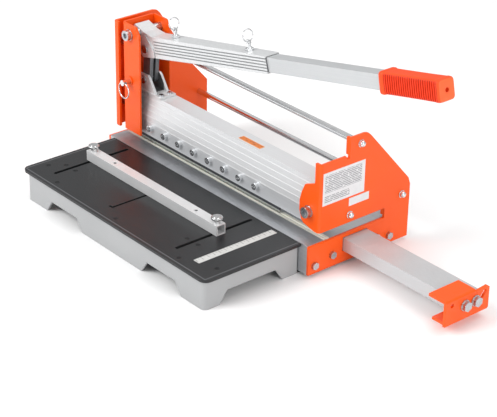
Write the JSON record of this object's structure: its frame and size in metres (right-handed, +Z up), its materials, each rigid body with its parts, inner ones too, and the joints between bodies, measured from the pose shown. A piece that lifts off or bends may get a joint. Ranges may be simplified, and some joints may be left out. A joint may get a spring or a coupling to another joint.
{
  "type": "laminate flooring cutter",
  "caption": "Guillotine cutter for laminate flooring: bed between folded end plates, hinged blade beam on a telescopic lever, side table with sliding fence, pull-out support.",
  "frame": {"origin": "on the ground at the middle foot, midway between the end plates, in the blade plane", "axes": "+X along the bed towards the blade beam's pivot, +Y to the rear away from the side table, +Z up"},
  "size_m": [0.7026, 0.364, 0.3542],
  "materials": {
    "bed_aluminium": "satin",
    "nylon": "satin",
    "black_nylon": "satin",
    "foot_rubber": "matte",
    "orange_steel": "powder coat, semi gloss",
    "zinc_steel": "zinc plated",
    "chrome": "polished",
    "beam_aluminium": "satin",
    "bronze": "satin",
    "blade_steel": "ground",
    "cast_aluminium": "satin",
    "link_steel": "satin",
    "tube_aluminium": "satin",
    "grip_rubber": "satin",
    "table_black": "satin",
    "skirt_grey": "satin",
    "screw_black": "satin",
    "ruler_white": "satin",
    "label_white": "satin",
    "label_orange": "satin"
  },
  "bodies": {
    "frame": {"bed": "bed_aluminium", "cutting_strip": "nylon", "bed_feet": "foot_rubber", "near_end_plate": "orange_steel", "far_end_plate": "orange_steel", "bed_bolts": "zinc_steel", "lever_tower": "orange_steel", "tower_bolts": "zinc_steel", "tower_spacers": "zinc_steel", "guide_pads": "black_nylon", "upper_tie_rod": "chrome", "rear_tie_rod": "chrome", "front_tie_rod": "chrome", "rod_bolts": "chrome", "pivot_bolt": "zinc_steel", "pivot_washers": "zinc_steel", "pivot_nut": "zinc_steel", "lever_bolt": "zinc_steel", "lever_nut": "zinc_steel", "lever_spacers": "zinc_steel", "lock_pin_bush": "chrome", "table_top": "table_black", "table_skirt": "skirt_grey", "table_screws": "screw_black", "table_bolts": "zinc_steel", "ruler_strip": "ruler_white", "rating_label": "label_white", "size_label": "label_white"},
    "cutting_beam": {"beam": "beam_aluminium", "pivot_bush": "bronze", "blade": "blade_steel", "blade_screws": "chrome", "clevis_bracket": "cast_aluminium", "clevis_screws": "zinc_steel", "beam_label": "label_orange"},
    "lever": {"lever_head": "cast_aluminium", "handle_sleeve": "cast_aluminium", "tang_pin_barrel": "chrome", "tube_pin_barrel": "chrome", "upper_link_pin": "zinc_steel"},
    "pull_link": {"link": "link_steel", "lower_link_pin": "zinc_steel"},
    "extension": {"inner_tube": "tube_aluminium", "grip": "grip_rubber"},
    "tang_pin": {"tang_pin": "chrome"},
    "tang_ring": {"tang_pin_ring": "chrome"},
    "tube_pin": {"tube_pin": "chrome"},
    "tube_ring": {"tube_pin_ring": "chrome"},
    "lock_pin": {"lock_pin": "chrome"},
    "lock_ring": {"lock_pin_ring": "chrome"},
    "fence": {"fence_tube": "tube_aluminium", "fence_nuts": "zinc_steel"},
    "left_thumb": {"left_thumbscrew": "chrome"},
    "right_thumb": {"right_thumbscrew": "chrome"},
    "support": {"support_rail": "tube_aluminium", "support_bracket": "orange_steel", "support_bolts": "zinc_steel"}
  },
  "joints": [
    {"name": "lever_swing", "type": "hinge", "parent": "frame", "child": "lever", "pos_m": [-0.196, 0.009, 0.224], "axis": [0, -1, 0], "range_deg": [0, 45]},
    {"name": "beam_swing", "type": "hinge", "parent": "frame", "child": "cutting_beam", "pos_m": [0.211, 0.009, 0.092], "axis": [0, 1, 0], "range_deg": [0, 2.68]},
    {"name": "link_swing", "type": "hinge", "parent": "lever", "child": "pull_link", "pos_m": [-0.18, 0.009, 0.202], "axis": [0, 1, 0], "range_deg": [0, 55.16]},
    {"name": "handle_extension", "type": "slide", "parent": "lever", "child": "extension", "axis": [0.9763, 0, 0.2164], "range_m": [-0.13, 0]},
    {"name": "tang_pin_pull", "type": "slide", "parent": "lever", "child": "tang_pin", "axis": [0.2164, 0, -0.9763], "range_m": [0, 0.005]},
    {"name": "tube_pin_pull", "type": "slide", "parent": "lever", "child": "tube_pin", "axis": [0.2164, 0, -0.9763], "range_m": [0, 0.005]},
    {"name": "tang_ring_swing", "type": "hinge", "parent": "tang_pin", "child": "tang_ring", "pos_m": [-0.12342, 0.009, 0.24775], "axis": [0, 1, 0], "range_deg": [-80, 80]},
    {"name": "tube_ring_swing", "type": "hinge", "parent": "tube_pin", "child": "tube_ring", "pos_m": [0.04458, 0.009, 0.28232], "axis": [0, 1, 0], "range_deg": [-80, 80]},
    {"name": "lock_pin_push", "type": "slide", "parent": "frame", "child": "lock_pin", "axis": [0, -1, 0], "range_m": [-0.0065, 0]},
    {"name": "lock_ring_swing", "type": "hinge", "parent": "lock_pin", "child": "lock_ring", "pos_m": [-0.196, -0.033, 0.149], "axis": [-1, 0, 0], "range_deg": [0, 150]},
    {"name": "fence_slide", "type": "slide", "parent": "frame", "child": "fence", "axis": [0, 1, 0], "range_m": [-0.066, 0.056]},
    {"name": "left_thumb_turn", "type": "hinge", "parent": "fence", "child": "left_thumb", "pos_m": [-0.172, -0.108, 0.07], "axis": [0, 0, 1], "range_deg": [0, 720]},
    {"name": "right_thumb_turn", "type": "hinge", "parent": "fence", "child": "right_thumb", "pos_m": [0.121, -0.108, 0.07], "axis": [0, 0, 1], "range_deg": [0, 720]},
    {"name": "support_slide", "type": "slide", "parent": "frame", "child": "support", "axis": [1, 0, 0], "range_m": [-0.188, 0]}
  ],
  "couplings": [
    {"joint": "beam_swing", "follows": "lever_swing", "ratio": 0.05921},
    {"joint": "link_swing", "follows": "lever_swing", "ratio": 1.2253}
  ]
}
